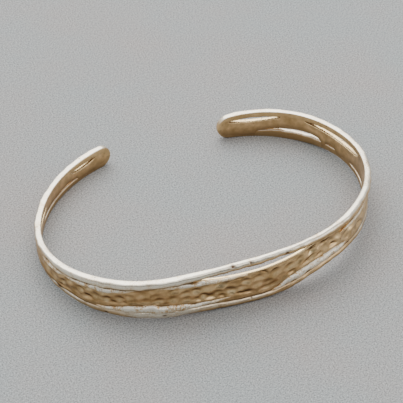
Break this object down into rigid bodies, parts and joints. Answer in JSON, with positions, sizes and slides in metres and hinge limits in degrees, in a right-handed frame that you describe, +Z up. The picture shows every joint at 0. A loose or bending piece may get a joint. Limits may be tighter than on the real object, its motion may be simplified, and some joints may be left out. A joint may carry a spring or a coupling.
{
  "type": "cuff bracelet",
  "caption": "Open cuff bracelet with a hammered band between smooth edge wires, pierced by narrow slits, with round tips either side of the wrist gap.",
  "frame": {"origin": "middle of the cuff's box, on the surface that it lies on", "axes": "+X across the wrist, +Y from the front towards the gap between the tips, +Z up, along the arm that wears it"},
  "size_m": [0.0622, 0.0452, 0.0096],
  "materials": {
    "cuff": "satin gold, hammered band, brighter worn edges, dark pits and seams"
  },
  "bodies": {
    "root": {"cuff": "cuff"}
  },
  "joints": []
}
